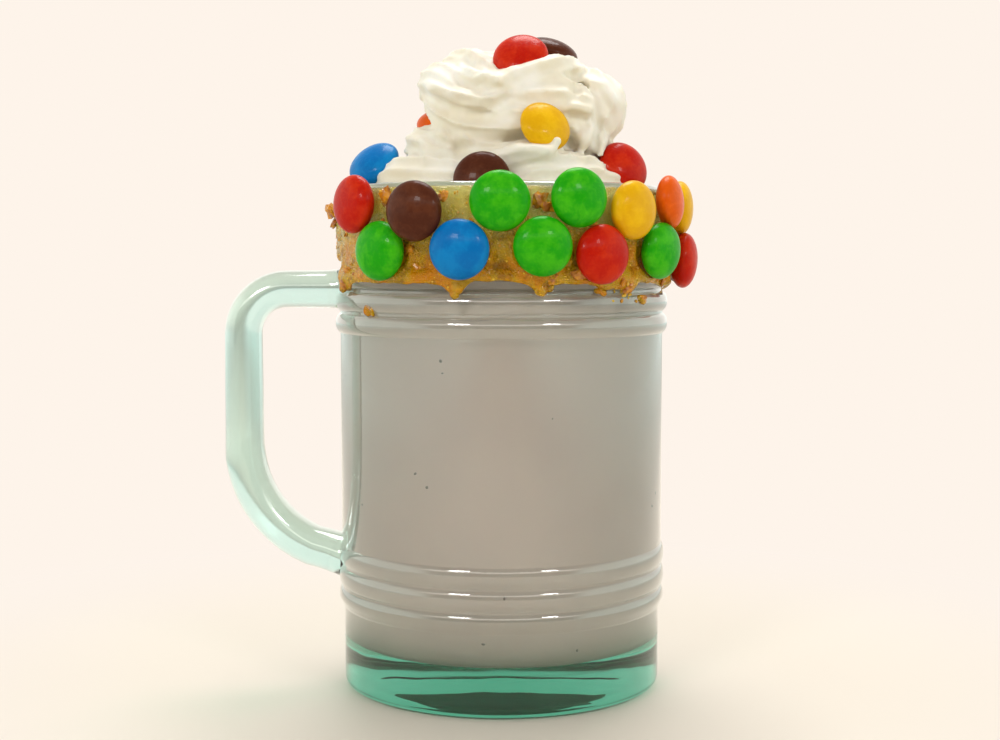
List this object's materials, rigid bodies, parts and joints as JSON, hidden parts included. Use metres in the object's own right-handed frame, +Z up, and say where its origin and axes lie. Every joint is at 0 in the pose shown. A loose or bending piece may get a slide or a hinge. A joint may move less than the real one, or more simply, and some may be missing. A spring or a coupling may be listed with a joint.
{
  "type": "milkshake",
  "caption": "Milkshake in a ribbed glass mug with a side handle, piped whipped cream, and sugar-shelled sweets stuck in a caramel sauce round the rim.",
  "frame": {"origin": "on the mug's axis, on the flat pad in the middle of its underside, level with the foot ring it stands on", "axes": "+Z up along the mug's axis, the handle towards -X, the side shown in the picture towards -Y"},
  "size_m": [0.1169, 0.0955, 0.161],
  "materials": {
    "glass": "clear pressed glass with a green cast",
    "milkshake": "thick opaque milkshake with fine dark specks",
    "whipped_cream": "soft whipped cream",
    "sauce": "sticky nut and caramel sauce with crumbs",
    "shell_red": "sugar shell with a soft gloss",
    "shell_green": "sugar shell with a soft gloss",
    "shell_blue": "sugar shell with a soft gloss",
    "shell_yellow": "sugar shell with a soft gloss",
    "shell_orange": "sugar shell with a soft gloss",
    "shell_brown": "sugar shell with a soft gloss"
  },
  "bodies": {
    "root": {"cream_blue": "shell_blue", "cream_blue_back": "shell_blue", "cream_brown": "shell_brown", "cream_green_back": "shell_green", "cream_orange": "shell_orange", "cream_red": "shell_red", "cream_yellow": "shell_yellow", "milkshake": "milkshake", "mug": "glass", "rim_blue": "shell_blue", "rim_blue_back_1": "shell_blue", "rim_blue_back_2": "shell_blue", "rim_blue_back_3": "shell_blue", "rim_brown": "shell_brown", "rim_brown_back": "shell_brown", "rim_brown_back_2": "shell_brown", "rim_green_back_1": "shell_green", "rim_green_back_2": "shell_green", "rim_green_back_3": "shell_green", "rim_green_high": "shell_green", "rim_green_left": "shell_green", "rim_green_low": "shell_green", "rim_green_middle": "shell_green", "rim_green_right": "shell_green", "rim_orange": "shell_orange", "rim_orange_back_1": "shell_orange", "rim_orange_back_2": "shell_orange", "rim_red_back_1": "shell_red", "rim_red_back_2": "shell_red", "rim_red_left": "shell_red", "rim_red_low": "shell_red", "rim_red_side": "shell_red", "rim_sauce": "sauce", "rim_yellow": "shell_yellow", "rim_yellow_back_1": "shell_yellow", "rim_yellow_back_2": "shell_yellow", "rim_yellow_side": "shell_yellow", "top_brown": "shell_brown", "top_red": "shell_red", "whipped_cream": "whipped_cream"}
  },
  "joints": []
}
